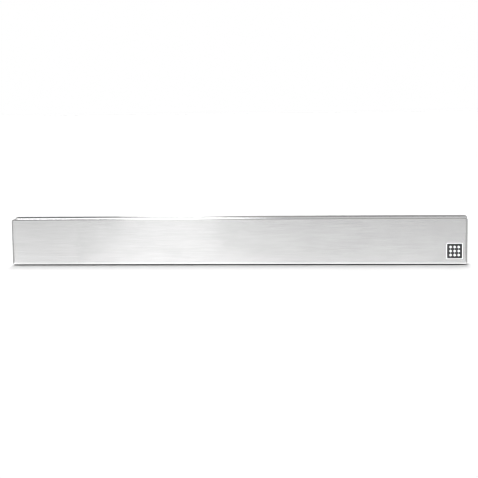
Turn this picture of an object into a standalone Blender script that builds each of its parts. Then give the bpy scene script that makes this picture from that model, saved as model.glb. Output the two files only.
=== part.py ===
"""Wall-mounted magnetic knife rack, as an assembly of separate solids.

A brushed steel cover holds two rows of block magnets in a plastic carrier, with a steel yoke plate
behind them. Two hooks on the yoke plate hang over the lip of a steel rail that is screwed to the wall.

Frame: metres, +Z up, +X along the rack. The wall is the plane Y = 0 and the rack stands out of it
towards -Y. The origin is the middle of the wall rail's back face.
"""

import math

import bmesh
import bpy
from mathutils import Matrix, Vector

MM = 0.001

# Driving dimensions
LENGTH = 450.4 * MM  # this and the height are over the cover's rolled rim
HEIGHT = 47 * MM
COVER_DEPTH = 20 * MM
WALL_GAP = 2 * MM  # between the cover's rear rim and the wall
SHEET = 0.8 * MM  # the cover's sheet thickness
CORNER_RADIUS = 3 * MM  # of the cover's rim, seen from the front
RIM_BEAD = 1 * MM  # radius of the bead along the rim, which stands out from the cover's sides
BEND_RADIUS = 1.2 * MM  # outside radius of the bend round the front face
GAP = 0.3 * MM  # between two pieces that touch
SIDE_GAP = 0.4 * MM  # round the mouldings, inside the cover

# Depths, from the front towards the wall
FRONT_Y = -(WALL_GAP + COVER_DEPTH)
RIM_Y = -WALL_GAP
COVER_INSIDE_Y = FRONT_Y + SHEET

MAGNET_LENGTH, MAGNET_HEIGHT, MAGNET_THICKNESS = 48 * MM, 14 * MM, 5.5 * MM
MAGNET_PITCH = 50.6 * MM
MAGNETS_PER_GROUP = 4  # one group on each side of the middle screws, in each row
GROUP_START_X = 8.5 * MM
ROW_Z = 10.3 * MM  # height of the upper row's middle; the lower row is its mirror
MAGNET_BEVEL = 0.5 * MM
MAGNET_FRONT_Y = COVER_INSIDE_Y + GAP
MAGNET_BACK_Y = MAGNET_FRONT_Y + MAGNET_THICKNESS

YOKE_THICKNESS = 1.5 * MM
YOKE_LENGTH, YOKE_HEIGHT, YOKE_CORNER = 442 * MM, 38 * MM, 1.5 * MM
YOKE_FRONT_Y = MAGNET_BACK_Y + GAP
YOKE_BACK_Y = YOKE_FRONT_Y + YOKE_THICKNESS

TAPE_THICKNESS = 0.6 * MM
TAPE_LENGTH = 440 * MM
TAPE_FRONT_Y = COVER_INSIDE_Y + GAP
EDGE_TAPE_Z, EDGE_TAPE_WIDTH = 19.6 * MM, 2.8 * MM  # along the carrier's long edges
MIDDLE_TAPE_WIDTH = 5.2 * MM
CARRIER_FRONT_Y = TAPE_FRONT_Y + TAPE_THICKNESS + GAP
CARRIER_FLOOR_Y = YOKE_FRONT_Y - GAP
CARRIER_WALL = 1.6 * MM

HOOK_SHEET, HOOK_BEND = 1.5 * MM, 0.5 * MM  # thickness, and inside radius of its bends
HOOK_WIDTH = 40 * MM
HOOK_X = 120 * MM
HOOK_BOTTOM_Z = -6 * MM
HOOK_FRONT_Y = YOKE_BACK_Y + GAP
HOOK_BACK_Y = HOOK_FRONT_Y + HOOK_SHEET

RIVET_RADIUS = 1.45 * MM
RIVET_X = 12 * MM  # from the middle of its hook
RIVET_HEAD_RADIUS, RIVET_HEAD_HEIGHT = 2.9 * MM, 1.0 * MM
RIVET_SINK_RADIUS, RIVET_SINK_DEPTH = 2.5 * MM, 0.9 * MM  # of its countersunk end

FLOOR_FRONT_Y = HOOK_BACK_Y + GAP + RIVET_HEAD_HEIGHT + GAP  # of the back cover's floor
FLOOR_THICKNESS = 1.8 * MM
FLOOR_BACK_Y = FLOOR_FRONT_Y + FLOOR_THICKNESS
BACK_COVER_WALL = 1.8 * MM
BACK_COVER_Y = RIM_Y - 0.4 * MM  # the back cover's rear edge, just inside the steel rim
RIB_HEIGHT, RIB_WIDTH = 1.6 * MM, 1.2 * MM
RIB_PITCH, CROSS_RIBS = 40 * MM, 11
LONG_RIB_Z = (-6 * MM, 4 * MM)
INNER_CORNER = 0.6 * MM  # radius inside both mouldings' corners
WELL_RADIUS, WELL_HEIGHT = 4.6 * MM, 2.2 * MM
COLUMN_RADIUS = 5.5 * MM  # of the columns that carry the bumpers
WINDOW_MARGIN = 1.5 * MM  # round a hook, where it passes through the back cover

SCREW_X, SCREW_Z = 216 * MM, 12 * MM
SCREW_RADIUS = 1.45 * MM
SCREW_LENGTH = 10 * MM  # under the head
SCREW_TIP_RADIUS, SCREW_TIP_LENGTH = 0.3 * MM, 2 * MM
SCREW_HEAD_RADIUS, SCREW_HEAD_HEIGHT = 2.8 * MM, 1.8 * MM
SCREW_SEAT_Y = FLOOR_BACK_Y + GAP
RECESS_LENGTH, RECESS_WIDTH, RECESS_DEPTH = 3.2 * MM, 0.7 * MM, 1.2 * MM
BOSS_RADIUS = 3.25 * MM

RAIL_SHEET, RAIL_BEND, RAIL_BEVEL = 2 * MM, 1.2 * MM, 0.3 * MM
RAIL_LENGTH = 384 * MM
RAIL_BOTTOM_Z, RAIL_TOP_Z = -10 * MM, 14.2 * MM
RAIL_STEP_Z = (2 * MM, 6 * MM)  # where the rail steps out from the wall to its lip
LIP_Y = -4.4 * MM  # middle of the rail's lip
TONGUE_Y = -1.85 * MM  # middle of a hook's tongue, behind the lip
TONGUE_TIP_Z = 6.5 * MM
HOOK_TOP_Z = RAIL_TOP_Z + GAP + HOOK_SHEET
RAIL_HOLE_Z = -4 * MM
RAIL_HOLE_RADIUS = 2.3 * MM
COUNTERSINK_RADIUS, COUNTERSINK_DEPTH = 4.3 * MM, 1.4 * MM
ROUND_HOLE_X, SLOT_X = 60 * MM, 160 * MM
SLOT_LENGTH = 12 * MM

BUMPER_X, BUMPER_Z = 200 * MM, 13 * MM
BUMPER_RADIUS, BUMPER_ROUND = 4.75 * MM, 1.1 * MM

BADGE_SIZE, BADGE_CORNER = 14 * MM, 0.6 * MM
BADGE_THICKNESS = 0.3 * MM
BADGE_X, BADGE_Z = 211.9 * MM, -9.7 * MM
BADGE_POCKET_DEPTH = 0.45 * MM
BADGE_SUNK = 0.05 * MM  # how far the badge lies below the front face

# Smoothness
CORNER_STEPS = 6
BEND_STEPS = 4
TURN_STEPS = 24
HOLE_STEPS = 16
PAST = 1 * MM  # how far a cutter runs past the wall that it cuts

SIDES = (-1, 1)


# Scene and materials


def clear_scene():
    for old in list(bpy.data.objects):
        bpy.data.objects.remove(old)


def new_material(name, colour, roughness, metallic=0.0):
    material = bpy.data.materials.new(name)
    material.use_nodes = True
    shader = material.node_tree.nodes["Principled BSDF"]
    shader.inputs["Base Color"].default_value = (*colour, 1.0)
    shader.inputs["Roughness"].default_value = roughness
    shader.inputs["Metallic"].default_value = metallic
    return material


def new_materials():
    return {
        "brushed_steel": new_material("brushed_steel", (0.66, 0.66, 0.66), 0.3, 1.0),
        "badge": new_material("badge", (0.035, 0.035, 0.038), 0.35),
        "ferrite": new_material("ferrite", (0.07, 0.07, 0.075), 0.65),
        "zinc_steel": new_material("zinc_steel", (0.56, 0.57, 0.58), 0.4, 1.0),
        "black_plastic": new_material("black_plastic", (0.03, 0.03, 0.032), 0.55),
        "tape": new_material("tape", (0.8, 0.8, 0.78), 0.8),
        "rubber": new_material("rubber", (0.025, 0.025, 0.025), 0.85),
    }


def new_object(name, bm, material=None, parent=None, location=(0, 0, 0)):
    """An object from bm, which it frees."""
    mesh = bpy.data.meshes.new(name)
    bm.to_mesh(mesh)
    bm.free()
    made = bpy.data.objects.new(name, mesh)
    made.location = location
    made.parent = parent
    if material:
        mesh.materials.append(material)
    bpy.context.scene.collection.objects.link(made)
    return made


def mark_sharp_edges(mesh):
    mesh.shade_smooth()
    mesh.set_sharp_from_angle(angle=math.radians(35))


def finish_pieces():
    """Gives each piece the shape that its modifiers make, and removes the helper objects."""
    depsgraph = bpy.context.evaluated_depsgraph_get()
    pieces = [o for o in bpy.data.objects if o.type == "MESH" and not o.hide_render]
    shapes = [bpy.data.meshes.new_from_object(o.evaluated_get(depsgraph)) for o in pieces]
    for piece, shape in zip(pieces, shapes):
        piece.modifiers.clear()
        piece.data = shape
        mark_sharp_edges(shape)
    for helper in [o for o in bpy.data.objects if o.hide_render]:
        bpy.data.objects.remove(helper)


def add_boolean(target, operation, name, bm, self_crossing=False):
    """Cuts bm's shapes from target, or joins them to it, with a hidden helper object."""
    helper = new_object(name, bm, parent=target.parent)
    helper.hide_render = True
    helper.display_type = "WIRE"
    modifier = target.modifiers.new(name, "BOOLEAN")
    modifier.operation = operation
    modifier.object = helper
    modifier.solver = "EXACT"
    modifier.use_self = self_crossing


def cut(target, name, bm, self_crossing=False):
    add_boolean(target, "DIFFERENCE", name, bm, self_crossing)


def join(target, name, bm):
    add_boolean(target, "UNION", name, bm, self_crossing=True)


def add_bevel(target, width, segments=1):
    modifier = target.modifiers.new("edges", "BEVEL")
    modifier.width = width
    modifier.segments = segments
    modifier.limit_method = "ANGLE"
    modifier.angle_limit = math.radians(50)


# Shapes. Outlines are lists of points (x, z), in order round the shape.


def rounded_rectangle(width, height, radius, centre=(0, 0)):
    outline = []
    for quarter, (side_x, side_z) in enumerate(((1, 1), (-1, 1), (-1, -1), (1, -1))):
        corner_x = centre[0] + side_x * (width / 2 - radius)
        corner_z = centre[1] + side_z * (height / 2 - radius)
        for step in range(CORNER_STEPS + 1):
            angle = math.radians(90) * (quarter + step / CORNER_STEPS)
            outline.append((corner_x + radius * math.cos(angle), corner_z + radius * math.sin(angle)))
    return outline


def slot_outline(length, radius, centre=(0, 0)):
    """A slot along X with round ends, or a circle where length is twice radius."""
    outline = []
    for step in range(HOLE_STEPS):
        angle = math.tau * (step + 0.5) / HOLE_STEPS
        end = math.copysign(length / 2 - radius, math.cos(angle))
        x = centre[0] + end + radius * math.cos(angle)
        outline.append((x, centre[1] + radius * math.sin(angle)))
    return outline


def add_loft(bm, loops):
    """A closed solid through loops of (outline, y), each with as many points, capped at both ends."""
    rings = [[bm.verts.new((x, y, z)) for x, z in outline] for outline, y in loops]
    faces = [bm.faces.new(rings[0]), bm.faces.new(rings[-1])]
    for ring, following in zip(rings, rings[1:]):
        for i, corner in enumerate(ring):
            before = i - 1
            faces.append(bm.faces.new((ring[before], corner, following[i], following[before])))
    bmesh.ops.recalc_face_normals(bm, faces=faces)


def loft(loops):
    bm = bmesh.new()
    add_loft(bm, loops)
    return bm


def add_box(bm, low, high):
    low, high = Vector(low), Vector(high)
    size = Matrix.Diagonal((high - low).to_4d())
    size[3][3] = 1
    bmesh.ops.create_cube(bm, size=1, matrix=Matrix.Translation((low + high) / 2) @ size)


def box(low, high):
    bm = bmesh.new()
    add_box(bm, low, high)
    return bm


def add_pegs(bm, places, radius, low_y, high_y):
    """A round peg along Y at each (x, z)."""
    for place in places:
        circle = slot_outline(2 * radius, radius, place)
        add_loft(bm, [(circle, low_y), (circle, high_y)])


def pegs(places, radius, low_y, high_y):
    bm = bmesh.new()
    add_pegs(bm, places, radius, low_y, high_y)
    return bm


def turned(profile):
    """A solid of a (radius, y) profile turned about the Y axis, which it starts and ends on."""
    bm = bmesh.new()
    line = [bm.verts.new((radius, y, 0)) for radius, y in profile]
    edges = [bm.edges.new(pair) for pair in zip(line, line[1:])]
    bmesh.ops.spin(
        bm, geom=line + edges, cent=(0, 0, 0), axis=(0, 1, 0), angle=math.tau, steps=TURN_STEPS
    )
    bmesh.ops.remove_doubles(bm, verts=bm.verts, dist=1e-6)
    bmesh.ops.recalc_face_normals(bm, faces=bm.faces)
    return bm


def bent_outline(path, thickness, inner_radius):
    """The (y, z) outline of a strip bent along path, with a round bend at each inner point."""
    path = [Vector(point) for point in path]
    middle_radius = inner_radius + thickness / 2
    middle = [(path[0], (path[1] - path[0]).normalized())]
    for before, corner, after in zip(path, path[1:], path[2:]):
        arriving, leaving = (corner - before).normalized(), (after - corner).normalized()
        turn = arriving.angle_signed(leaving)  # positive clockwise
        reach = middle_radius * math.tan(abs(turn) / 2)
        centre_side = Vector((arriving.y, -arriving.x)) * math.copysign(middle_radius, turn)
        centre = corner - arriving * reach + centre_side
        for step in range(BEND_STEPS + 1):
            spin = Matrix.Rotation(-turn * step / BEND_STEPS, 2)
            middle.append((centre - spin @ centre_side, spin @ arriving))
    middle.append((path[-1], (path[-1] - path[-2]).normalized()))
    sides = []
    for side in SIDES:
        offset = side * thickness / 2
        sides.append([point + Vector((-along.y, along.x)) * offset for point, along in middle])
    return sides[0] + sides[1][::-1]


def bent_strip(path, thickness, inner_radius, length):
    """The strip of bent_outline, extruded along X about X = 0."""
    outline = bent_outline(path, thickness, inner_radius)
    bm = bmesh.new()
    face = bm.faces.new([bm.verts.new((-length / 2, y, z)) for y, z in outline])
    made = bmesh.ops.extrude_face_region(bm, geom=[face])
    moved = [item for item in made["geom"] if isinstance(item, bmesh.types.BMVert)]
    bmesh.ops.translate(bm, verts=moved, vec=(length, 0, 0))
    bmesh.ops.recalc_face_normals(bm, faces=bm.faces)
    return bm


def screw_places():
    return [(x, side * SCREW_Z) for x in (-SCREW_X, 0, SCREW_X) for side in SIDES]


def bumper_places():
    return [(across * BUMPER_X, up * BUMPER_Z) for across in SIDES for up in SIDES]


def rivet_places():
    return [(hook * HOOK_X + side * RIVET_X, 0) for hook in SIDES for side in SIDES]


def magnet_places():
    """(name, x, z) of each magnet's middle, left to right along the upper row and then the lower."""
    first = GROUP_START_X + MAGNET_LENGTH / 2
    right = [first + MAGNET_PITCH * i for i in range(MAGNETS_PER_GROUP)]
    across = [-x for x in reversed(right)] + right
    rows = (("upper", ROW_Z), ("lower", -ROW_Z))
    return [(f"magnet_{row}_{i + 1}", x, z) for row, z in rows for i, x in enumerate(across)]


# The pieces


def make_front_cover(parts, materials):
    """A shallow steel tray, open to the wall, with a bend round its front and a bead round its rim."""

    def shell(inset, bend, y_front):
        """The loops of one skin of the sheet, from its front face to the start of its rim."""
        loops = []
        for step in range(BEND_STEPS + 1):
            angle = math.radians(90) * step / BEND_STEPS
            shrink = inset + bend * (1 - math.sin(angle))
            y = y_front + bend * (1 - math.cos(angle))
            outline = rounded_rectangle(
                LENGTH - 2 * shrink, HEIGHT - 2 * shrink, CORNER_RADIUS - shrink
            )
            loops.append((outline, y))
        return loops

    outside = shell(RIM_BEAD, BEND_RADIUS, FRONT_Y)
    inside = shell(RIM_BEAD + SHEET, BEND_RADIUS - SHEET, COVER_INSIDE_Y)
    bead = []
    for step in range(2 * BEND_STEPS + 1):
        angle = math.radians(180) * step / (2 * BEND_STEPS)
        shrink = RIM_BEAD * (1 - math.sin(angle))
        outline = rounded_rectangle(
            LENGTH - 2 * shrink, HEIGHT - 2 * shrink, CORNER_RADIUS - shrink
        )
        bead.append((outline, RIM_Y - RIM_BEAD * (1 + math.cos(angle))))
    inner_rim = (inside[-1][0], RIM_Y)
    skins = loft(outside + bead + [inner_rim] + inside[::-1])
    cover = new_object("front_cover", skins, materials["brushed_steel"], parts)
    pocket_size = BADGE_SIZE + 2 * GAP
    pocket = rounded_rectangle(pocket_size, pocket_size, BADGE_CORNER + GAP, (BADGE_X, BADGE_Z))
    pocket_loops = [(pocket, FRONT_Y - PAST), (pocket, FRONT_Y + BADGE_POCKET_DEPTH)]
    cut(cover, "badge_pocket_cutter", loft(pocket_loops))


def make_badge(parts, materials):
    """A small dark plate let into the front face, near its lower right corner."""
    outline = rounded_rectangle(BADGE_SIZE, BADGE_SIZE, BADGE_CORNER)
    plate = loft([(outline, 0), (outline, BADGE_THICKNESS)])
    location = (BADGE_X, FRONT_Y + BADGE_SUNK, BADGE_Z)
    new_object("badge_plate", plate, materials["badge"], parts, location)


def make_magnets(parts, materials):
    half = Vector((MAGNET_LENGTH, MAGNET_THICKNESS, MAGNET_HEIGHT)) / 2
    for name, x, z in magnet_places():
        location = (x, MAGNET_FRONT_Y + half.y, z)
        magnet = new_object(name, box(-half, half), materials["ferrite"], parts, location)
        add_bevel(magnet, MAGNET_BEVEL)


def make_tapes(parts, materials):
    """Adhesive tape that holds the carrier to the inside of the cover's face."""
    bands = {
        "upper": (EDGE_TAPE_Z, EDGE_TAPE_WIDTH),
        "middle": (0, MIDDLE_TAPE_WIDTH),
        "lower": (-EDGE_TAPE_Z, EDGE_TAPE_WIDTH),
    }
    for name, (z, width) in bands.items():
        low = (-TAPE_LENGTH / 2, TAPE_FRONT_Y, z - width / 2)
        high = (TAPE_LENGTH / 2, TAPE_FRONT_Y + TAPE_THICKNESS, z + width / 2)
        new_object(f"adhesive_tape_{name}", box(low, high), materials["tape"], parts)


def moulding_tray(front_y, floor_y, rear_y, wall):
    """The loops of a plastic tray that fills the cover's inside and opens towards the wall."""
    inset = RIM_BEAD + SHEET + SIDE_GAP
    radius = CORNER_RADIUS - inset
    outer = rounded_rectangle(LENGTH - 2 * inset, HEIGHT - 2 * inset, radius)
    shrink = 2 * (inset + wall)
    inner = rounded_rectangle(LENGTH - shrink, HEIGHT - shrink, INNER_CORNER)
    return loft([(outer, front_y), (outer, rear_y), (inner, rear_y), (inner, floor_y)])


def make_magnet_carrier(parts, materials):
    """A ladder of pockets for the magnets, with a rim round the yoke plate and a boss for each screw."""
    rear_y = FLOOR_FRONT_Y - GAP
    tray = moulding_tray(CARRIER_FRONT_Y, CARRIER_FLOOR_Y, rear_y, CARRIER_WALL)
    carrier = new_object("magnet_carrier", tray, materials["black_plastic"], parts)
    bosses = pegs(screw_places(), BOSS_RADIUS, CARRIER_FLOOR_Y - PAST, rear_y)
    join(carrier, "carrier_bosses", bosses)
    pockets = bmesh.new()
    reach = Vector((MAGNET_LENGTH / 2 + GAP, 0, MAGNET_HEIGHT / 2 + GAP))
    for _, x, z in magnet_places():
        low = Vector((x, CARRIER_FRONT_Y - PAST, z)) - reach
        high = Vector((x, CARRIER_FLOOR_Y + PAST, z)) + reach
        add_box(pockets, low, high)
    cut(carrier, "magnet_pockets_cutter", pockets)
    bottom_y = SCREW_SEAT_Y - SCREW_LENGTH - 2 * GAP
    pilots = pegs(screw_places(), SCREW_RADIUS + GAP, bottom_y, rear_y + PAST)
    cut(carrier, "pilot_holes_cutter", pilots)


def make_yoke_plate(parts, materials):
    """The steel strip behind the magnets, with clearance for the bosses and countersunk rivet holes."""
    outline = rounded_rectangle(YOKE_LENGTH, YOKE_HEIGHT, YOKE_CORNER)
    plate = loft([(outline, YOKE_FRONT_Y), (outline, YOKE_BACK_Y)])
    yoke = new_object("yoke_plate", plate, materials["zinc_steel"], parts)
    clearance = BOSS_RADIUS + 2 * GAP
    holes = pegs(screw_places(), clearance, YOKE_FRONT_Y - PAST, YOKE_BACK_Y + PAST)
    narrow, wide = RIVET_RADIUS + GAP, RIVET_SINK_RADIUS + 2 * GAP
    for place in rivet_places():
        mouth = slot_outline(2 * wide, wide, place)
        throat = slot_outline(2 * narrow, narrow, place)
        seat_y = YOKE_FRONT_Y + RIVET_SINK_DEPTH
        loops = [(mouth, YOKE_FRONT_Y - GAP), (throat, seat_y), (throat, YOKE_BACK_Y + PAST)]
        add_loft(holes, loops)
    cut(yoke, "yoke_holes_cutter", holes)


def make_hangers(parts, materials):
    """Two bent steel hooks, riveted to the back of the yoke plate, that hang over the rail's lip."""
    base_y = HOOK_FRONT_Y + HOOK_SHEET / 2
    leg_z = HOOK_TOP_Z - HOOK_SHEET / 2
    base = [(base_y, HOOK_BOTTOM_Z), (base_y, leg_z)]
    tongue = [(TONGUE_Y, leg_z), (TONGUE_Y, TONGUE_TIP_Z)]
    for name, side in (("left", -1), ("right", 1)):
        strip = bent_strip(base + tongue, HOOK_SHEET, HOOK_BEND, HOOK_WIDTH)
        location = (side * HOOK_X, 0, 0)
        hanger = new_object(f"hanger_{name}", strip, materials["zinc_steel"], parts, location)
        holes = [(side * HOOK_X + end * RIVET_X, 0) for end in SIDES]
        cutter = pegs(holes, RIVET_RADIUS + GAP, HOOK_FRONT_Y - PAST, HOOK_BACK_Y + PAST)
        cut(hanger, f"hanger_{name}_holes_cutter", cutter)


def make_rivets(parts, materials):
    """Countersunk rivets, flush with the yoke plate's front, with a low round head on the hook."""
    head_y = HOOK_BACK_Y + GAP
    profile = [(0, YOKE_FRONT_Y), (RIVET_SINK_RADIUS, YOKE_FRONT_Y)]
    profile += [(RIVET_RADIUS, YOKE_FRONT_Y + RIVET_SINK_DEPTH), (RIVET_RADIUS, head_y)]
    for step in range(BEND_STEPS):
        angle = math.radians(90) * step / BEND_STEPS
        dome = head_y + RIVET_HEAD_HEIGHT * math.sin(angle)
        profile.append((RIVET_HEAD_RADIUS * math.cos(angle), dome))
    profile.append((0, head_y + RIVET_HEAD_HEIGHT))
    names = [f"hanger_rivet_{hook}_{i}" for hook in ("left", "right") for i in (1, 2)]
    for name, (x, z) in zip(names, rivet_places()):
        new_object(name, turned(profile), materials["zinc_steel"], parts, (x, 0, z))


def make_back_cover(parts, materials):
    """The moulded back: a ribbed tray that leaves room for the rail and lets the hooks through."""
    tray = moulding_tray(FLOOR_FRONT_Y, FLOOR_BACK_Y, BACK_COVER_Y, BACK_COVER_WALL)
    cover = new_object("back_cover", tray, materials["black_plastic"], parts)
    rooted = FLOOR_BACK_Y - FLOOR_THICKNESS / 2
    inside_x = LENGTH / 2 - RIM_BEAD - SHEET - SIDE_GAP - BACK_COVER_WALL / 2
    inside_z = HEIGHT / 2 - RIM_BEAD - SHEET - SIDE_GAP - BACK_COVER_WALL / 2

    ribs = bmesh.new()
    rib_top = FLOOR_BACK_Y + RIB_HEIGHT
    for z in LONG_RIB_Z:
        low = (-inside_x, rooted, z - RIB_WIDTH / 2)
        add_box(ribs, low, (inside_x, rib_top, z + RIB_WIDTH / 2))
    for i in range(CROSS_RIBS):
        x = (i - CROSS_RIBS // 2) * RIB_PITCH
        low = (x - RIB_WIDTH / 2, rooted, -inside_z)
        add_box(ribs, low, (x + RIB_WIDTH / 2, rib_top, inside_z))
    join(cover, "back_cover_ribs", ribs)

    wells_and_columns = pegs(screw_places(), WELL_RADIUS, rooted, FLOOR_BACK_Y + WELL_HEIGHT)
    add_pegs(wells_and_columns, bumper_places(), COLUMN_RADIUS, rooted, BACK_COVER_Y)
    join(cover, "screw_wells_and_bumper_columns", wells_and_columns)

    bores = pegs(screw_places(), SCREW_RADIUS + 2 * GAP, FLOOR_FRONT_Y - PAST, BACK_COVER_Y)
    cut(cover, "screw_holes_cutter", bores)
    wells = pegs(screw_places(), SCREW_HEAD_RADIUS + 2 * GAP, FLOOR_BACK_Y, BACK_COVER_Y)
    cut(cover, "screw_wells_cutter", wells)

    windows = bmesh.new()
    for side in SIDES:
        middle, half = side * HOOK_X, HOOK_WIDTH / 2 + WINDOW_MARGIN
        low = (middle - half, FLOOR_FRONT_Y - PAST, TONGUE_TIP_Z - WINDOW_MARGIN)
        high = (middle + half, BACK_COVER_Y, HOOK_TOP_Z + WINDOW_MARGIN)
        add_box(windows, low, high)
    cut(cover, "hook_windows_cutter", windows)


def make_back_cover_screws(parts, materials):
    """Pan-head screws with a cross recess, from the back cover's wells into the carrier's bosses."""
    seat_y = SCREW_SEAT_Y
    tip_y = seat_y - SCREW_LENGTH
    top_y = seat_y + SCREW_HEAD_HEIGHT
    profile = [(0, tip_y), (SCREW_TIP_RADIUS, tip_y), (SCREW_RADIUS, tip_y + SCREW_TIP_LENGTH)]
    profile += [(SCREW_RADIUS, seat_y), (SCREW_HEAD_RADIUS, seat_y)]
    for radius_share, height_share in ((1, 0.5), (0.8, 0.85), (0.5, 1)):
        crown = (SCREW_HEAD_RADIUS * radius_share, seat_y + SCREW_HEAD_HEIGHT * height_share)
        profile.append(crown)
    profile.append((0, top_y))
    for i, (x, z) in enumerate(screw_places()):
        name = f"back_cover_screw_{i + 1}"
        screw = new_object(name, turned(profile), materials["zinc_steel"], parts, (x, 0, z))
        recess = bmesh.new()
        for size_x, size_z in ((RECESS_LENGTH, RECESS_WIDTH), (RECESS_WIDTH, RECESS_LENGTH)):
            low = (x - size_x / 2, top_y - RECESS_DEPTH, z - size_z / 2)
            add_box(recess, low, (x + size_x / 2, top_y + PAST, z + size_z / 2))
        cut(screw, f"{name}_recess_cutter", recess, self_crossing=True)


def make_bumpers(parts, materials):
    """Rubber pads on the back cover's columns, which rest on the wall."""
    base_y = BACK_COVER_Y + GAP
    profile = [(0, base_y), (BUMPER_RADIUS, base_y)]
    for step in range(BEND_STEPS + 1):
        angle = math.radians(90) * step / BEND_STEPS
        radius = BUMPER_RADIUS - BUMPER_ROUND * (1 - math.cos(angle))
        profile.append((radius, -BUMPER_ROUND * (1 - math.sin(angle))))
    profile.append((0, 0))
    for i, (x, z) in enumerate(bumper_places()):
        new_object(f"wall_bumper_{i + 1}", turned(profile), materials["rubber"], parts, (x, 0, z))


def make_wall_rail(parts, materials):
    """A steel strip with a stepped-out lip along its top and countersunk holes for wall screws."""
    base_y = -RAIL_SHEET / 2
    low, high = RAIL_STEP_Z
    path = [(base_y, RAIL_BOTTOM_Z), (base_y, low), (LIP_Y, high), (LIP_Y, RAIL_TOP_Z)]
    strip = bent_strip(path, RAIL_SHEET, RAIL_BEND, RAIL_LENGTH)
    rail = new_object("wall_rail", strip, materials["zinc_steel"], parts)
    add_bevel(rail, RAIL_BEVEL)
    holes = bmesh.new()
    flare = COUNTERSINK_RADIUS - RAIL_HOLE_RADIUS
    front_y = -RAIL_SHEET
    for hole_x, length in ((ROUND_HOLE_X, 2 * RAIL_HOLE_RADIUS), (SLOT_X, SLOT_LENGTH)):
        for side in SIDES:
            place = (side * hole_x, RAIL_HOLE_Z)
            throat = slot_outline(length, RAIL_HOLE_RADIUS, place)
            mouth = slot_outline(length + 2 * flare, COUNTERSINK_RADIUS, place)
            loops = [(mouth, front_y - PAST), (mouth, front_y), (throat, front_y + COUNTERSINK_DEPTH)]
            add_loft(holes, loops + [(throat, PAST)])
    cut(rail, "rail_holes_cutter", holes)


def main():
    clear_scene()
    materials = new_materials()
    fixed = bpy.data.objects.new("fixed_to_wall", None)
    lifting = bpy.data.objects.new("rack_lift", None)  # the rack slides up along its Z axis
    for empty in (fixed, lifting):
        bpy.context.scene.collection.objects.link(empty)
    make_wall_rail(fixed, materials)
    make_front_cover(lifting, materials)
    make_badge(lifting, materials)
    make_tapes(lifting, materials)
    make_magnet_carrier(lifting, materials)
    make_magnets(lifting, materials)
    make_yoke_plate(lifting, materials)
    make_hangers(lifting, materials)
    make_rivets(lifting, materials)
    make_back_cover(lifting, materials)
    make_back_cover_screws(lifting, materials)
    make_bumpers(lifting, materials)
    finish_pieces()


main()
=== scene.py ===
"""The looks of the wall-mounted magnetic knife rack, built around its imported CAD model.

Units are metres, with +Z up and +X along the rack. The wall is the plane Y = 0, the rack's face looks
towards -Y, and the CAD nodes give every position. Pieces that show from outside are modelled again with
rounded edges; the pieces sealed inside keep their CAD shape and get a material of their own.
"""

import math

import bmesh
import bpy
from mathutils import Matrix, Vector


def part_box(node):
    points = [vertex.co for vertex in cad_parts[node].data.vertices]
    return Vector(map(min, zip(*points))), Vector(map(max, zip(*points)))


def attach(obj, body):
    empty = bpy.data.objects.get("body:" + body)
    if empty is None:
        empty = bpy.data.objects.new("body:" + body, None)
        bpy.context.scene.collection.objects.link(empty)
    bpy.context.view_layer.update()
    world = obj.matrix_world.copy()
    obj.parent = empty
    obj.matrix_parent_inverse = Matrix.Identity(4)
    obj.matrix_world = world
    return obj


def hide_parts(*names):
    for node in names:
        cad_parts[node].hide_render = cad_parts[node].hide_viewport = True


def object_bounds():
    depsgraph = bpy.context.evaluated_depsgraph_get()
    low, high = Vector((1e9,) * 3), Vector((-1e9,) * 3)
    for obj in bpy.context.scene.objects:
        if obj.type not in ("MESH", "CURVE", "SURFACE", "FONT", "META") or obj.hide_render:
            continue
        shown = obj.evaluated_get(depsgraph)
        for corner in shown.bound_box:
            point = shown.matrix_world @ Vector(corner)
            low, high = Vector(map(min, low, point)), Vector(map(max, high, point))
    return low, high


MM = 0.001
SIDES = (-1, 1)

# The cover's sheet steel
SHEET = 0.8 * MM
BEND_RADIUS, INNER_BEND = 0.9 * MM, 0.3 * MM  # outside and inside, round the front face
END_BEND_STRETCH = 2.3  # how much further the bends at the two ends reach along X
RIM_BEAD = 1 * MM  # radius of the bead along the rim
RIM_CORNER = 3 * MM  # corner radius of the rim, seen from the front
RIM_EDGE = 0.15 * MM  # rounding of the sheet's inner edge
POCKET_GAP = 0.3 * MM  # between the badge and its pocket
POCKET_DEPTH = 0.45 * MM
POCKET_RIM, POCKET_RIM_DEPTH = 0.7 * MM, 0.1 * MM  # the bright-cut rim round the pocket

# The badge
BADGE_CORNER = 0.6 * MM
BADGE_EDGE = 0.08 * MM
LOZENGES = 3  # along each side of its pattern
LOZENGE_PITCH = 3.9 * MM
LOZENGE_HALF = 1.6 * MM
LOZENGE_EDGE = 0.02 * MM
LOZENGE_ROOT = 0.1 * MM  # how deep the pattern is set into the enamel

# The back cover
WALL = 1.8 * MM
FLOOR = 1.8 * MM
TRAY_CORNER = 0.8 * MM
WALL_ROUND = 0.4 * MM
FLOOR_FILLET = 0.7 * MM
RIB_HEIGHT, RIB_WIDTH, RIB_ROUND = 1.6 * MM, 1.2 * MM, 0.35 * MM
LONG_RIB_Z = (-6 * MM, 4 * MM)
RIB_PITCH, CROSS_RIBS = 40 * MM, 11
WELL_RADIUS, WELL_HEIGHT, WELL_ROUND = 4.6 * MM, 2.2 * MM, 0.3 * MM
WELL_CLEARANCE = 0.6 * MM  # round a screw's head and its shank
COLUMN_RADIUS = 5.5 * MM
WINDOW_MARGIN, WINDOW_CORNER = 1.5 * MM, 1.2 * MM
TONGUE_TIP_Z = 6.5 * MM
PIN_MARK_RADIUS, PIN_MARK_DEPTH = 2.5 * MM, 0.12 * MM
PIN_MARK_Z = 13 * MM
PIN_MARK_BAYS, HIGH_MARK_BAYS = 5, (0, 1, 4)  # from the middle outwards; with a mark above as well

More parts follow.
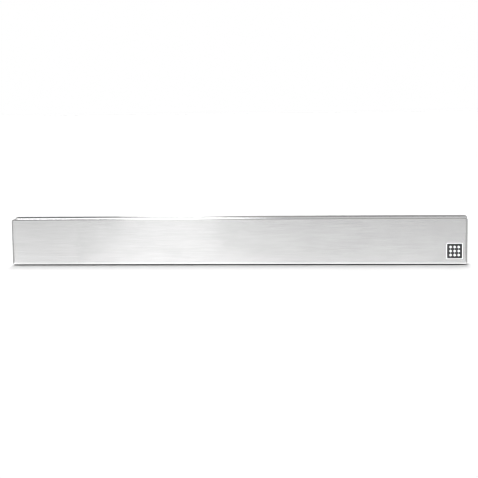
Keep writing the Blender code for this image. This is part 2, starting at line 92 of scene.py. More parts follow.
# Screws
SCREWS = 6  # in the back cover
SHANK_RADIUS = 1.45 * MM
HEAD_HEIGHT = 1.8 * MM
HEAD_EDGE = 0.25 * MM
RECESS_LENGTH, RECESS_WIDTH, RECESS_DEPTH = 3.2 * MM, 0.7 * MM, 1.2 * MM
RECESS_TAPER = 0.55  # size of the recess's bottom as a share of its mouth
RECESS_CORNER = 0.12 * MM
POINT_RADIUS, POINT_LENGTH = 0.3 * MM, 2 * MM  # the screw's blunt point

# The rail and the hooks
RAIL_SHEET, RAIL_BEND = 2 * MM, 1.2 * MM
RAIL_STEP_Z = (2 * MM, 6 * MM)
RAIL_CORNER, SHEARED_EDGE = 1.5 * MM, 0.25 * MM
HOLE_RADIUS = 2.3 * MM
HOLE_HEIGHT = 6 * MM  # of the screw holes, above the rail's lower edge
ROUND_HOLE_X, SLOT_X, SLOT_LENGTH = 60 * MM, 160 * MM, 12 * MM
SINK_FLARE, SINK_DEPTH = 2 * MM, 1.4 * MM
HOOK_SHEET, HOOK_BEND, HOOK_CORNER = 1.5 * MM, 0.5 * MM, 1.2 * MM
RIVET_X, RIVET_HEIGHT, RIVET_HOLE = 12 * MM, 6 * MM, 1.75 * MM

# The bumpers
BUMPERS = 4
BUMPER_ROUND = 1.1 * MM
GROOVE_RADIUS, GROOVE_WIDTH, GROOVE_DEPTH = 2.6 * MM, 0.7 * MM, 0.15 * MM

# Smoothness
CORNER_STEPS = 8
ROUND_STEPS = 6
CIRCLE_STEPS = 48
SMALLEST_CORNER = 0.05 * MM
PAST = 1 * MM  # how far a cutter runs past what it cuts
SAME_PLACE = 0.0001 * MM  # points this close together are one
SLIVER = 0.002 * MM  # shorter edges that a cut leaves are removed
SHARP_ANGLE = math.radians(38)

# Camera: its direction from the rack, distance and roll, and the point in the rack that it looks at
CAMERA_AZIMUTH, CAMERA_ELEVATION = math.radians(5.04), math.radians(6.87)
CAMERA_ROLL = math.radians(-0.77)
CAMERA_DISTANCE = 1.2956
CAMERA_TARGET = Vector((1.7 * MM, -12 * MM, 1.43 * MM))
CAMERA_LENS, CAMERA_SENSOR = 98.74, 36  # in millimetres

# Studio: the ground, and the brightness of the room by the sine of the elevation
GROUND_HALF, GROUND_GREY, GROUND_ROUGHNESS, GROUND_SPECULAR = 6, 0.86, 0.9, 0.1
ROOM_LEVELS = ((0.0, 0.92), (0.17, 0.92), (0.42, 0.29), (1.0, 0.29))

# Cards and the brightness they add. A place along X is where the camera sees it mirrored in the face
CARD_STEPS = 64
CARD_GAP, BAND_ABOVE = 0.3 * MM, 1 * MM  # cards from what is beside them, band card over floor card
CARD_FRONT_Y = -0.75
FLOOR_SPAN, FLOOR_END = (-260 * MM, 260 * MM), 228 * MM  # it fades out from the end to the span's edge
FLOOR_FAR, FLOOR_FADE = 0.24, (-100 * MM, 260 * MM)  # at any distance, less towards the right
FLOOR_GLOW, FLOOR_GLOW_REACH = 0.6, 0.4
EDGE_GLOW, EDGE_GLOW_REACH = 1.6, 0.011  # more of it close to the rack
BAND_NEAR, BAND_FAR, BAND_HIGH = 0.25, 0.44, 2.2
BAND_LEAN = 0.35  # how far out the band's left edge goes on leaning
BAND_LEFT_LOW, BAND_LEFT_HIGH, BAND_LEFT_FADE = -158 * MM, -133 * MM, 45 * MM
BAND_RIGHT, BAND_RIGHT_FADE = -8 * MM, 16 * MM
BAND_TAIL, BAND_TAIL_END = 0.22, 75 * MM  # a weaker stretch on the band's right
ROOF_RIGHT, ROOF_END = 0.5, 300 * MM  # the brightness overhead on the band's right, and its end
ROOF_Z, ROOF_BACK_Y = 0.5, 0.75
OVERHEAD_Z = (0.15, 0.45)  # where the band takes on its brightness overhead
REAR_Y, REAR_HEIGHT = 1.2, 0.45
REAR_SPAN = (-260 * MM, 320 * MM)
REAR_GLOW_LEFT, REAR_GLOW_RIGHT = 3.2, 0.35
REAR_STEP = (-10 * MM, 45 * MM)  # where the left's glow turns into the right's

# Flags beside the two ends: X of the foot and the top, height, Y of the edges, and brightness
FLAG_FOOT, FLAG_TOP, FLAG_HEIGHT = 0.2268, 0.29, 0.35
FLAG_BACK, LEFT_FLAG_FRONT, RIGHT_FLAG_FRONT = 0.05, -0.035, -0.07
FLAG_LEVEL = 0.85

# Key light: suns in a strip, their tilts in degrees from straight above towards the back
KEY_ENERGY, KEY_ANGLE, KEY_TURN = 2.95, math.radians(11), math.radians(4)
KEY_TILTS = (-8, 1, 10, 19, 28, 37)

# Brushed steel: its grey and roughness, both with their dark or low and light or high ends, and how
# fine its grains are
STEEL_GREY, STEEL_DARK, STEEL_LIGHT = 0.51, 0.469, 0.534
STEEL_SHADE_SPAN = (0.35, 0.65)  # the part of the noise that the shades are spread over
STEEL_ROUGHNESS, STEEL_SMOOTH, STEEL_ROUGH = 0.25, 0.242, 0.258
STEEL_ANISOTROPY = 0.9
STREAKS, HAIRLINES, WIPING = (45, 1300, 1300), (30, 6000, 6000), (28, 60, 60)
WIPING_SHARE = 0.35
STREAK_HEIGHT, HAIRLINE_HEIGHT = 0.0012 * MM, 0.0006 * MM

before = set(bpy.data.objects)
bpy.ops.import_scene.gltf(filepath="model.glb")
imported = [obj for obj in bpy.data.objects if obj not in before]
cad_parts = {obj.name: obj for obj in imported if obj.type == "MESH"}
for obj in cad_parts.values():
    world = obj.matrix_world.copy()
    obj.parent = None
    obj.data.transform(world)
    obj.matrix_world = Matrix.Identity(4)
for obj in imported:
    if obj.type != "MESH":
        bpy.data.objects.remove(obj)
cad_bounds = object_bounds()


# Outlines: functions of how far the outline is drawn in, which give its points (x, z) in order


def rectangle(low, high, corner):
    """A rectangle with round corners between two opposite points (x, z). Its ends can go further in."""

    def outline(inset=0.0, more_at_ends=0.0):
        radius = max(corner - inset, SMALLEST_CORNER)
        points = []
        for quarter, (side_x, side_z) in enumerate(((1, 1), (-1, 1), (-1, -1), (1, -1))):
            at_x = (high[0] if side_x > 0 else low[0]) - side_x * (inset + more_at_ends + radius)
            at_z = (high[1] if side_z > 0 else low[1]) - side_z * (inset + radius)
            for step in range(CORNER_STEPS + 1):
                angle = math.radians(90) * (quarter + step / CORNER_STEPS)
                points.append((at_x + radius * math.cos(angle), at_z + radius * math.sin(angle)))
        return points

    return outline


def slot(length, radius, centre):
    """A slot along X with round ends."""

    def outline(inset=0.0):
        points = []
        for step in range(CIRCLE_STEPS):
            angle = math.tau * (step + 0.5) / CIRCLE_STEPS
            end = math.copysign(length / 2 - radius, math.cos(angle))
            reach = radius - inset
            x = centre[0] + end + reach * math.cos(angle)
            points.append((x, centre[1] + reach * math.sin(angle)))
        return points

    return outline


def circle(radius, centre):
    return slot(2 * radius, radius, centre)


def lozenge(half, centre):
    def outline(inset=0.0):
        reach = half - inset * math.sqrt(2)
        turns = [(1, 0), (0, 1), (-1, 0), (0, -1)]
        return [(centre[0] + reach * x, centre[1] + reach * z) for x, z in turns]

    return outline


def front_round(outline, y, radius, side=1):
    """Rings (points, y) of a rounded edge: from the flat at y to the wall. side is -1 for a hole."""
    rings = []
    for step in range(ROUND_STEPS + 1):
        angle = math.radians(90) * step / ROUND_STEPS
        inset = side * radius * (1 - math.sin(angle))
        rings.append((outline(inset), y + radius * (1 - math.cos(angle))))
    return rings


def rear_round(outline, y, radius, side=1):
    """The same from the wall to the flat at y, on the side that faces +Y."""
    mirrored = front_round(outline, -y, radius, side)
    return [(points, -at) for points, at in reversed(mirrored)]


# Meshes


def add_skin(bm, rings):
    """Faces from ring to ring; returns the first and the last ring's corners."""
    made = [[bm.verts.new((x, y, z)) for x, z in points] for points, y in rings]
    for ring, following in zip(made, made[1:]):
        for i, corner in enumerate(ring):
            bm.faces.new((ring[i - 1], corner, following[i], following[i - 1]))
    return made[0], made[-1]


def add_cap(bm, *rings):
    """A flat face inside the first ring, with a hole at each of the others."""
    if len(rings) == 1:
        bm.faces.new(rings[0])
        return
    edges = []
    for ring in rings:
        for before, corner in zip(ring, ring[1:] + ring[:1]):
            edges.append(bm.edges.get((before, corner)) or bm.edges.new((before, corner)))
    bmesh.ops.triangle_fill(bm, use_beauty=True, use_dissolve=False, edges=edges)


def add_loft(bm, rings):
    """A closed solid through rings, capped at both ends."""
    first, last = add_skin(bm, rings)
    add_cap(bm, first)
    add_cap(bm, last)


def loft(rings):
    bm = bmesh.new()
    add_loft(bm, rings)
    return bm


def plate(outer, holes):
    """A plate whose rings and whose holes' rings all run from one flat side to the other."""
    bm = bmesh.new()
    ends = [add_skin(bm, rings) for rings in [outer, *holes]]
    add_cap(bm, *[first for first, _ in ends])
    add_cap(bm, *[last for _, last in ends])
    return bm


def turned(profile):
    """A solid of a (radius, y) profile turned about the Y axis, which it starts and ends on."""
    bm = bmesh.new()
    line = [bm.verts.new((radius, y, 0)) for radius, y in profile]
    edges = [bm.edges.new(pair) for pair in zip(line, line[1:])]
    bmesh.ops.spin(
        bm, geom=line + edges, cent=(0, 0, 0), axis=(0, 1, 0), angle=math.tau, steps=CIRCLE_STEPS
    )
    bmesh.ops.remove_doubles(bm, verts=bm.verts, dist=SAME_PLACE)
    return bm


def arc(centre, radius, start, end):
    """Points (radius, y) along an arc of a turned profile, between two angles in degrees."""
    points = []
    for step in range(ROUND_STEPS + 1):
        angle = math.radians(start + (end - start) * step / ROUND_STEPS)
        points.append((centre[0] + radius * math.cos(angle), centre[1] + radius * math.sin(angle)))
    return points


def bend_rows(path, thickness, inner_radius):
    """(distance, point, front) wherever a sheet bent along path of (y, z) starts a run or turns."""
    path = [Vector(point) for point in path]
    radius = inner_radius + thickness / 2
    middle = [(path[0], (path[1] - path[0]).normalized())]
    for before, corner, after in zip(path, path[1:], path[2:]):
        arriving, leaving = (corner - before).normalized(), (after - corner).normalized()
        turn = arriving.angle_signed(leaving)  # positive clockwise
        reach = radius * math.tan(abs(turn) / 2)
        centre_side = Vector((arriving.y, -arriving.x)) * math.copysign(radius, turn)
        centre = corner - arriving * reach + centre_side
        for step in range(2 * ROUND_STEPS + 1):
            spin = Matrix.Rotation(-turn * step / (2 * ROUND_STEPS), 2)
            middle.append((centre - spin @ centre_side, spin @ arriving))
    middle.append((path[-1], (path[-1] - path[-2]).normalized()))
    rows, distance = [], 0.0
    for i, (point, along) in enumerate(middle):
        distance += (point - middle[i - 1][0]).length if i else 0.0
        rows.append((distance, point, Vector((-along.y, along.x))))
    return rows


def bend_plate(bm, rows):
    """Bends a flat plate, upright from Z = 0 and centred on Y = 0, along the rows."""
    for distance, _, _ in rows[1:-1]:
        geometry = list(bm.verts) + list(bm.edges) + list(bm.faces)
        bmesh.ops.bisect_plane(
            bm, geom=geometry, dist=SAME_PLACE, plane_co=(0, 0, distance), plane_no=(0, 0, 1)
        )
    for corner in bm.verts:
        height = corner.co.z
        after = 1
        while after < len(rows) - 1 and rows[after][0] < height:
            after += 1
        (low, start, start_front), (high, end, end_front) = rows[after - 1], rows[after]
        share = (height - low) / (high - low)
        place = start.lerp(end, share) - start_front.lerp(end_front, share) * corner.co.y
        corner.co = (corner.co.x, place.x, place.y)


def solid_object(name, bm):
    bmesh.ops.recalc_face_normals(bm, faces=bm.faces)
    mesh = bpy.data.meshes.new(name)
    bm.to_mesh(mesh)
    bm.free()
    made = bpy.data.objects.new(name, mesh)
    bpy.context.scene.collection.objects.link(made)
    return made


def combine(target, operation, bm):
    """Joins bm's shapes to target, or cuts them from it."""
    helper = solid_object("helper", bm)
    modifier = target.modifiers.new("combine", "BOOLEAN")
    modifier.operation = operation
    modifier.object = helper
    modifier.solver = "EXACT"
    modifier.use_self = True
    depsgraph = bpy.context.evaluated_depsgraph_get()
    shape = bpy.data.meshes.new_from_object(target.evaluated_get(depsgraph))
    cleaned = bmesh.new()
    cleaned.from_mesh(shape)
    bmesh.ops.dissolve_degenerate(cleaned, dist=SLIVER, edges=cleaned.edges)
    cleaned.to_mesh(shape)
    cleaned.free()
    target.modifiers.clear()
    target.data = shape
    bpy.data.objects.remove(helper)


def finish_piece(piece, material, body, slot_name, *nodes):
    """Smooth shading, material, and what the piece rides on and stands for."""
    mesh = piece.data
    mesh.materials.append(material)
    mesh.shade_smooth()
    mesh.set_sharp_from_angle(angle=SHARP_ANGLE)
    normals = piece.modifiers.new("flat faces stay flat", "WEIGHTED_NORMAL")
    normals.keep_sharp = True
    normals.weight = 100
    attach(piece, body)
    if nodes:
        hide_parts(*nodes)


def middle_of(node):
    low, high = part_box(node)
    return (low + high) / 2


def flat(point):
    """A point's place (x, z) on the wall."""
    return point.x, point.z


# Materials


def new_material(name, colour, roughness, metallic=0.0):
    material = bpy.data.materials.new(name)
    material.use_nodes = True
    shader = material.node_tree.nodes["Principled BSDF"]
    shader.inputs["Base Color"].default_value = (*colour, 1)
    shader.inputs["Roughness"].default_value = roughness
    shader.inputs["Metallic"].default_value = metallic
    return material, shader


def add_node(material, kind, **inputs):
    node = material.node_tree.nodes.new(kind)
    for name, value in inputs.items():
        node.inputs[name].default_value = value
    return node


def grain(material, stretch, detail=3.0, roughness=0.5):
    """Noise whose features measure 1/stretch metres along each axis."""
    place = add_node(material, "ShaderNodeTexCoord")
    scaled = add_node(material, "ShaderNodeMapping", Scale=stretch)
    noise = add_node(material, "ShaderNodeTexNoise", Scale=1.0, Detail=detail, Roughness=roughness)
    links = material.node_tree.links
    links.new(place.outputs["Object"], scaled.inputs["Vector"])
    links.new(scaled.outputs["Vector"], noise.inputs["Vector"])
    return noise.outputs["Fac"]


def drive(material, value, socket, low, high, start=0.3, end=0.7):
    """Sets a shader's number from a 0-to-1 value, read between start and end."""
    ranged = add_node(material, "ShaderNodeMapRange")
    ranged.inputs["From Min"].default_value = start
    ranged.inputs["From Max"].default_value = end
    ranged.inputs["To Min"].default_value = low
    ranged.inputs["To Max"].default_value = high
    material.node_tree.links.new(value, ranged.inputs["Value"])
    material.node_tree.links.new(ranged.outputs["Result"], socket)


def tint(material, value, socket, dark, light, start=0.3, end=0.7):
    """Sets a shader's colour between dark and light from a 0-to-1 value."""
    ramp = material.node_tree.nodes.new("ShaderNodeValToRGB")
    ramp.color_ramp.elements[0].position = start
    ramp.color_ramp.elements[0].color = (*dark, 1)
    ramp.color_ramp.elements[1].position = end
    ramp.color_ramp.elements[1].color = (*light, 1)
    material.node_tree.links.new(value, ramp.inputs["Fac"])
    material.node_tree.links.new(ramp.outputs["Color"], socket)


def add_bump(material, shader, value, height, strength=1.0, below=None):
    """Bump of a given height in metres, on top of another bump's normal if below is given."""
    bump = add_node(material, "ShaderNodeBump", Strength=strength, Distance=height)
    links = material.node_tree.links
    links.new(value, bump.inputs["Height"])
    if below:
        links.new(below, bump.inputs["Normal"])
    links.new(bump.outputs["Normal"], shader.inputs["Normal"])
    return bump.outputs["Normal"]


def average(material, first, second, share):
    """Mixes two values, share of them from the second."""
    mixed = add_node(material, "ShaderNodeMix")
    mixed.data_type = "FLOAT"
    factor, of_first, of_second = (mixed.inputs[i] for i in (0, 2, 3))  # its sockets for plain numbers
    factor.default_value = share
    material.node_tree.links.new(first, of_first)
    material.node_tree.links.new(second, of_second)
    return mixed.outputs[0]


def brushed_steel():
    """Stainless sheet brushed along X, so its gloss is drawn out across the grain."""
    greys = [(grey,) * 3 for grey in (STEEL_GREY, STEEL_DARK, STEEL_LIGHT)]
    material, shader = new_material("brushed_stainless", greys[0], STEEL_ROUGHNESS, metallic=1.0)
    shader.inputs["Anisotropic"].default_value = STEEL_ANISOTROPY
    across = material.node_tree.nodes.new("ShaderNodeTangent")
    across.direction_type = "RADIAL"
    across.axis = "X"
    material.node_tree.links.new(across.outputs["Tangent"], shader.inputs["Tangent"])
    streaks = grain(material, STREAKS, detail=5.0, roughness=0.7)
    hairlines = grain(material, HAIRLINES, detail=2.0)
    wiping = grain(material, WIPING, detail=5.0, roughness=0.6)
    shades = average(material, streaks, wiping, WIPING_SHARE)
    tint(material, shades, shader.inputs["Base Color"], *greys[1:], *STEEL_SHADE_SPAN)
    drive(material, wiping, shader.inputs["Roughness"], STEEL_SMOOTH, STEEL_ROUGH)
    coarse = add_bump(material, shader, streaks, STREAK_HEIGHT)
    add_bump(material, shader, hairlines, HAIRLINE_HEIGHT, below=coarse)
    return material


def ground_metal(name, brightness, roughness):
    """Bright metal, ground flat along X."""
    material, shader = new_material(name, (brightness,) * 3, roughness, metallic=1.0)
    lines = grain(material, stretch=(900, 5000, 5000), detail=2.0)
    dark, light = (0.95 * brightness,) * 3, (min(1.05 * brightness, 1.0),) * 3
    tint(material, lines, shader.inputs["Base Color"], dark, light)
    drive(material, lines, shader.inputs["Roughness"], low=roughness - 0.04, high=roughness + 0.08)
    add_bump(material, shader, lines, height=0.001 * MM)
    return material


def zinc_plate(name, brightness, roughness):
    """Zinc-plated steel: faint rolling lines and cloudy plating."""
    grey = (brightness, brightness * 1.01, brightness * 1.03)
    material, shader = new_material(name, grey, roughness, metallic=1.0)
    clouds = grain(material, stretch=(160, 160, 160), detail=6.0, roughness=0.6)
    rolled = grain(material, stretch=(60, 2500, 2500), detail=3.0)
    dark = tuple(0.86 * part for part in grey)
    light = tuple(min(1.08 * part, 1.0) for part in grey)
    tint(material, clouds, shader.inputs["Base Color"], dark, light)
    drive(material, clouds, shader.inputs["Roughness"], low=roughness - 0.07, high=roughness + 0.09)
    lines = add_bump(material, shader, rolled, height=0.002 * MM)
    add_bump(material, shader, clouds, height=0.01 * MM, strength=0.5, below=lines)
    return material


def moulded_plastic(name, level, roughness):
    """Moulded black plastic with a fine spark-eroded grain and dull patches."""
    material, shader = new_material(name, (level, level, level * 1.05), roughness)
    spark = grain(material, stretch=(3200, 3200, 3200), detail=3.0, roughness=0.6)
    patches = grain(material, stretch=(45, 90, 90), detail=4.0)
    dark = (0.8 * level, 0.8 * level, 0.85 * level)
    light = (1.35 * level, 1.35 * level, 1.4 * level)
    tint(material, patches, shader.inputs["Base Color"], dark, light)
    drive(material, patches, shader.inputs["Roughness"], low=roughness - 0.06, high=roughness + 0.08)
    add_bump(material, shader, spark, height=0.03 * MM, strength=0.6)
    return material


def dull_rubber():
    material, shader = new_material("black_rubber", colour=(0.02, 0.02, 0.021), roughness=0.75)
    shader.inputs["Specular IOR Level"].default_value = 0.35
    bloom = grain(material, stretch=(700, 700, 700), detail=5.0)
    dark, light = (0.016, 0.016, 0.017), (0.035, 0.034, 0.034)
    tint(material, bloom, shader.inputs["Base Color"], dark, light)
    drive(material, bloom, shader.inputs["Roughness"], low=0.68, high=0.88)
    add_bump(material, shader, bloom, height=0.02 * MM, strength=0.5)
    return material


def badge_enamel():
    """Hard dark enamel under a clear coat."""
    material, shader = new_material("dark_enamel", colour=(0.012, 0.012, 0.014), roughness=0.4)
    shader.inputs["Coat Weight"].default_value = 0.5
    shader.inputs["Coat Roughness"].default_value = 0.12
    ripple = grain(material, stretch=(500, 500, 500), detail=3.0)
    dark, light = (0.01, 0.01, 0.012), (0.02, 0.02, 0.023)
    tint(material, ripple, shader.inputs["Base Color"], dark, light)
    drive(material, ripple, shader.inputs["Roughness"], low=0.34, high=0.48)
    add_bump(material, shader, ripple, height=0.006 * MM)
    return material


def sintered_ferrite():
    material, shader = new_material("sintered_ferrite", colour=(0.06, 0.06, 0.065), roughness=0.6)
    pores = grain(material, stretch=(1500, 1500, 1500), detail=6.0, roughness=0.7)
    dark, light = (0.04, 0.04, 0.045), (0.09, 0.09, 0.095)
    tint(material, pores, shader.inputs["Base Color"], dark, light)
    drive(material, pores, shader.inputs["Roughness"], low=0.5, high=0.75)
    add_bump(material, shader, pores, height=0.04 * MM)
    return material


def foam_tape():
    material, shader = new_material("white_foam_tape", colour=(0.8, 0.8, 0.77), roughness=0.85)
    place = add_node(material, "ShaderNodeTexCoord")
    cells = add_node(material, "ShaderNodeTexVoronoi", Scale=2500)
    material.node_tree.links.new(place.outputs["Object"], cells.inputs["Vector"])
    depth = cells.outputs["Distance"]
    drive(material, depth, shader.inputs["Roughness"], low=0.75, high=0.95, start=0.0, end=1.0)
    clouds = grain(material, stretch=(200, 200, 200))
    dark, light = (0.72, 0.72, 0.69), (0.84, 0.84, 0.82)
    tint(material, clouds, shader.inputs["Base Color"], dark, light)
    add_bump(material, shader, depth, height=0.05 * MM)
    return material


# Pieces of the rack


def make_front_cover(material, rim_material):
    """The steel tray: its face, the bend round it, the beaded rim, and the pocket for the badge."""
    low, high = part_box("front_cover")
    face_y, rim_y = low.y, high.y
    rim = rectangle(flat(low), flat(high), RIM_CORNER)

    def outside(inset=0.0):
        return rim(RIM_BEAD + inset, (END_BEND_STRETCH - 1) * inset)

    def inside(inset=0.0):
        return rim(RIM_BEAD + SHEET + inset, (END_BEND_STRETCH - 1) * inset)

    rings = front_round(outside, face_y, BEND_RADIUS)
    for step in range(4 * ROUND_STEPS + 1):
        angle = math.radians(180) * step / (4 * ROUND_STEPS)
        shrink = RIM_BEAD * (1 - math.sin(angle))
        rings.append((rim(shrink), rim_y - RIM_BEAD * (1 + math.cos(angle))))
    rings += reversed(rear_round(inside, rim_y, RIM_EDGE, side=-1))
    rings += reversed(front_round(inside, face_y + SHEET, INNER_BEND))

    badge_low, badge_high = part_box("badge_plate")
    gap = Vector((POCKET_GAP, 0, POCKET_GAP))
    pocket = rectangle(flat(badge_low - gap), flat(badge_high + gap), BADGE_CORNER + POCKET_GAP)
    mouth_y = face_y + POCKET_RIM_DEPTH

    bm = bmesh.new()
    rim_edge, _ = add_skin(bm, [(pocket(-POCKET_RIM), face_y), (pocket(), mouth_y)])
    for face in bm.faces:
        face.material_index = 1
    _, pocket_floor = add_skin(bm, [(pocket(), mouth_y), (pocket(), face_y + POCKET_DEPTH)])
    face_edge, inside_edge = add_skin(bm, rings)
    add_cap(bm, face_edge, rim_edge)
    add_cap(bm, pocket_floor)
    add_cap(bm, inside_edge)
    bmesh.ops.remove_doubles(bm, verts=bm.verts, dist=SAME_PLACE)
    cover = solid_object("brushed_cover", bm)
    finish_piece(cover, material, "rack", "brushed_steel", "front_cover")
    cover.data.materials.append(rim_material)


def make_badge(enamel, metal):
    """A plate of dark enamel with a plain pattern of lozenges."""
    low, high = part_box("badge_plate")
    outline = rectangle(flat(low), flat(high), BADGE_CORNER)
    rings = front_round(outline, low.y, BADGE_EDGE)
    rings += rear_round(outline, high.y, BADGE_EDGE)
    badge = solid_object("badge_enamel", loft(rings))
    finish_piece(badge, enamel, "rack", "badge", "badge_plate")

    face_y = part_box("front_cover")[0].y
    centre = flat((low + high) / 2)
    bm = bmesh.new()
    for column in range(LOZENGES):
        for row in range(LOZENGES):
            x = centre[0] + (column - (LOZENGES - 1) / 2) * LOZENGE_PITCH
            z = centre[1] + (row - (LOZENGES - 1) / 2) * LOZENGE_PITCH
            shape = lozenge(LOZENGE_HALF, (x, z))
            rings = front_round(shape, face_y, LOZENGE_EDGE)
            add_loft(bm, rings + [(shape(), low.y + LOZENGE_ROOT)])
    pattern = solid_object("badge_pattern", bm)
    finish_piece(pattern, metal, "rack", "badge")


def pad(bm, outline, low_y, high_y, rounding):
    """A raised shape with its edge rounded on the side that faces the wall."""
    add_loft(bm, [(outline(), low_y)] + rear_round(outline, high_y, rounding))


def bore(bm, outline, low_y, mouth_y, flare):
    """A cutter for a hole that opens at mouth_y, on the wall's side, with a rounded mouth."""
    mouth = rear_round(outline, mouth_y, flare, side=-1)
    add_loft(bm, [(outline(), low_y)] + mouth + [(outline(-flare), mouth_y + PAST)])


def make_back_cover(material):
    """The moulded tray: walls, crossed ribs, screw wells, bumper columns and the hooks' windows."""
    low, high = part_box("back_cover")
    floor_y = low.y + FLOOR
    edge = rectangle(flat(low), flat(high), TRAY_CORNER)

    def inside(inset=0.0):
        return edge(WALL + inset)

    rings = front_round(edge, low.y, WALL_ROUND) + rear_round(edge, high.y, WALL_ROUND)
    rings += reversed(rear_round(inside, high.y, WALL_ROUND, side=-1))
    rings += reversed(front_round(inside, floor_y, FLOOR_FILLET))
    cover = solid_object("moulded_back", loft(rings))

    rooted = floor_y - FLOOR / 2
    rib_y = floor_y + RIB_HEIGHT
    half = RIB_WIDTH / 2
    reach = WALL / 2
    raised = bmesh.new()
    for z in LONG_RIB_Z:
        bar = rectangle((low.x + reach, z - half), (high.x - reach, z + half), RIB_ROUND)
        pad(raised, bar, rooted, rib_y, RIB_ROUND)
    combine(cover, "UNION", raised)
    raised = bmesh.new()
    for i in range(CROSS_RIBS):
        x = (i - CROSS_RIBS // 2) * RIB_PITCH
        bar = rectangle((x - half, low.z + reach), (x + half, high.z - reach), RIB_ROUND)
        pad(raised, bar, rooted, rib_y, RIB_ROUND)
    combine(cover, "UNION", raised)

    screws = [middle_of(f"back_cover_screw_{i + 1}") for i in range(SCREWS)]
    bumpers = [middle_of(f"wall_bumper_{i + 1}") for i in range(BUMPERS)]
    raised = bmesh.new()
    for place in screws:
        pad(raised, circle(WELL_RADIUS, flat(place)), rooted, floor_y + WELL_HEIGHT, WELL_ROUND)
    for place in bumpers:
        pad(raised, circle(COLUMN_RADIUS, flat(place)), rooted, high.y, WELL_ROUND)
    combine(cover, "UNION", raised)

    head_radius = (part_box("back_cover_screw_1")[1].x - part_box("back_cover_screw_1")[0].x) / 2
    holes = bmesh.new()
    for place in screws:
        well = circle(head_radius + WELL_CLEARANCE, flat(place))
        bore(holes, well, floor_y, floor_y + WELL_HEIGHT, WELL_ROUND)
    for x, z in pin_mark_places():
        mark = circle(PIN_MARK_RADIUS, (x, z))
        add_loft(holes, [(mark(), floor_y - PIN_MARK_DEPTH), (mark(), floor_y + PIN_MARK_DEPTH)])
    combine(cover, "DIFFERENCE", holes)

    holes = bmesh.new()
    for place in screws:
        shank = circle(SHANK_RADIUS + WELL_CLEARANCE, flat(place))
        add_loft(holes, [(shank(), low.y - PAST), (shank(), floor_y + PAST)])
    for hook in ("hanger_left", "hanger_right"):
        hook_low, hook_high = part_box(hook)
        window_low = (hook_low.x - WINDOW_MARGIN, TONGUE_TIP_Z - WINDOW_MARGIN)
        window_high = (hook_high.x + WINDOW_MARGIN, hook_high.z + WINDOW_MARGIN)
        window = rectangle(window_low, window_high, WINDOW_CORNER)
        add_loft(holes, [(window(), low.y - PAST), (window(), high.y)])
    combine(cover, "DIFFERENCE", holes)
    finish_piece(cover, material, "rack", "black_plastic", "back_cover")


def pin_mark_places():
    """Marks that the mould's ejector pins leave between the ribs, clear of the hooks' windows."""
    places = []
    for bay in range(PIN_MARK_BAYS):
        x = RIB_PITCH * (bay + 0.5)
        for side in SIDES:
            places.append((side * x, -PIN_MARK_Z))
            if bay in HIGH_MARK_BAYS:
                places.append((side * x, PIN_MARK_Z))
    return places


def make_screws(material):
    """Pan-head screws with a tapered cross recess."""
    for i in range(SCREWS):
        name = f"back_cover_screw_{i + 1}"
        low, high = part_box(name)
        head_radius = (high.x - low.x) / 2
        seat_y = high.y - HEAD_HEIGHT
        crown = head_radius - HEAD_HEIGHT / 2
        profile = [(0, low.y), (POINT_RADIUS, low.y)]
        profile += [(SHANK_RADIUS, low.y + POINT_LENGTH), (SHANK_RADIUS, seat_y)]
        profile += arc((head_radius - HEAD_EDGE, seat_y + HEAD_EDGE), HEAD_EDGE, -90, 0)
        profile += arc((crown, high.y - HEAD_HEIGHT / 2), HEAD_HEIGHT / 2, 0, 90)
        profile += [(0, high.y)]
        screw = solid_object(f"pan_screw_{i + 1}", turned(profile))
        for length, width in ((RECESS_LENGTH, RECESS_WIDTH), (RECESS_WIDTH, RECESS_LENGTH)):
            rings = []
            for share, depth in ((1, -PAST), (1, 0), (RECESS_TAPER, RECESS_DEPTH)):
                half_x, half_z = share * length / 2, share * width / 2
                wing = rectangle((-half_x, -half_z), (half_x, half_z), RECESS_CORNER)
                rings.append((wing(), high.y - depth))
            combine(screw, "DIFFERENCE", loft(rings))
        place = (low + high) / 2
        screw.data.transform(Matrix.Translation((place.x, 0, place.z)))
        finish_piece(screw, material, "rack", "zinc_steel", name)


def make_bumpers(material):
    """Round rubber pads with a groove in the face that meets the wall."""
    for i in range(BUMPERS):
        name = f"wall_bumper_{i + 1}"
        low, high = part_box(name)
        radius = (high.x - low.x) / 2
        profile = [(0, low.y), (radius, low.y)]
        profile += arc((radius - BUMPER_ROUND, high.y - BUMPER_ROUND), BUMPER_ROUND, 0, 90)
        profile += [
            (GROOVE_RADIUS + GROOVE_WIDTH / 2, high.y),
            (GROOVE_RADIUS + GROOVE_WIDTH / 4, high.y - GROOVE_DEPTH),
            (GROOVE_RADIUS - GROOVE_WIDTH / 4, high.y - GROOVE_DEPTH),
            (GROOVE_RADIUS - GROOVE_WIDTH / 2, high.y),
            (0, high.y),
        ]
        bumper = solid_object(f"rubber_bumper_{i + 1}", turned(profile))
        place = (low + high) / 2
        bumper.data.transform(Matrix.Translation((place.x, 0, place.z)))
        finish_piece(bumper, material, "rack", "rubber", name)


def sunk_hole_rings(outline, half):
    """A countersunk hole through a flat plate, from its front side."""
    edge = SHEARED_EDGE / 2

    def mouth(inset):
        return outline(inset - SINK_FLARE)

    rings = front_round(mouth, -half, edge, side=-1)
    rings.append((outline(), -half + SINK_DEPTH))
    return rings + rear_round(outline, half, edge, side=-1)


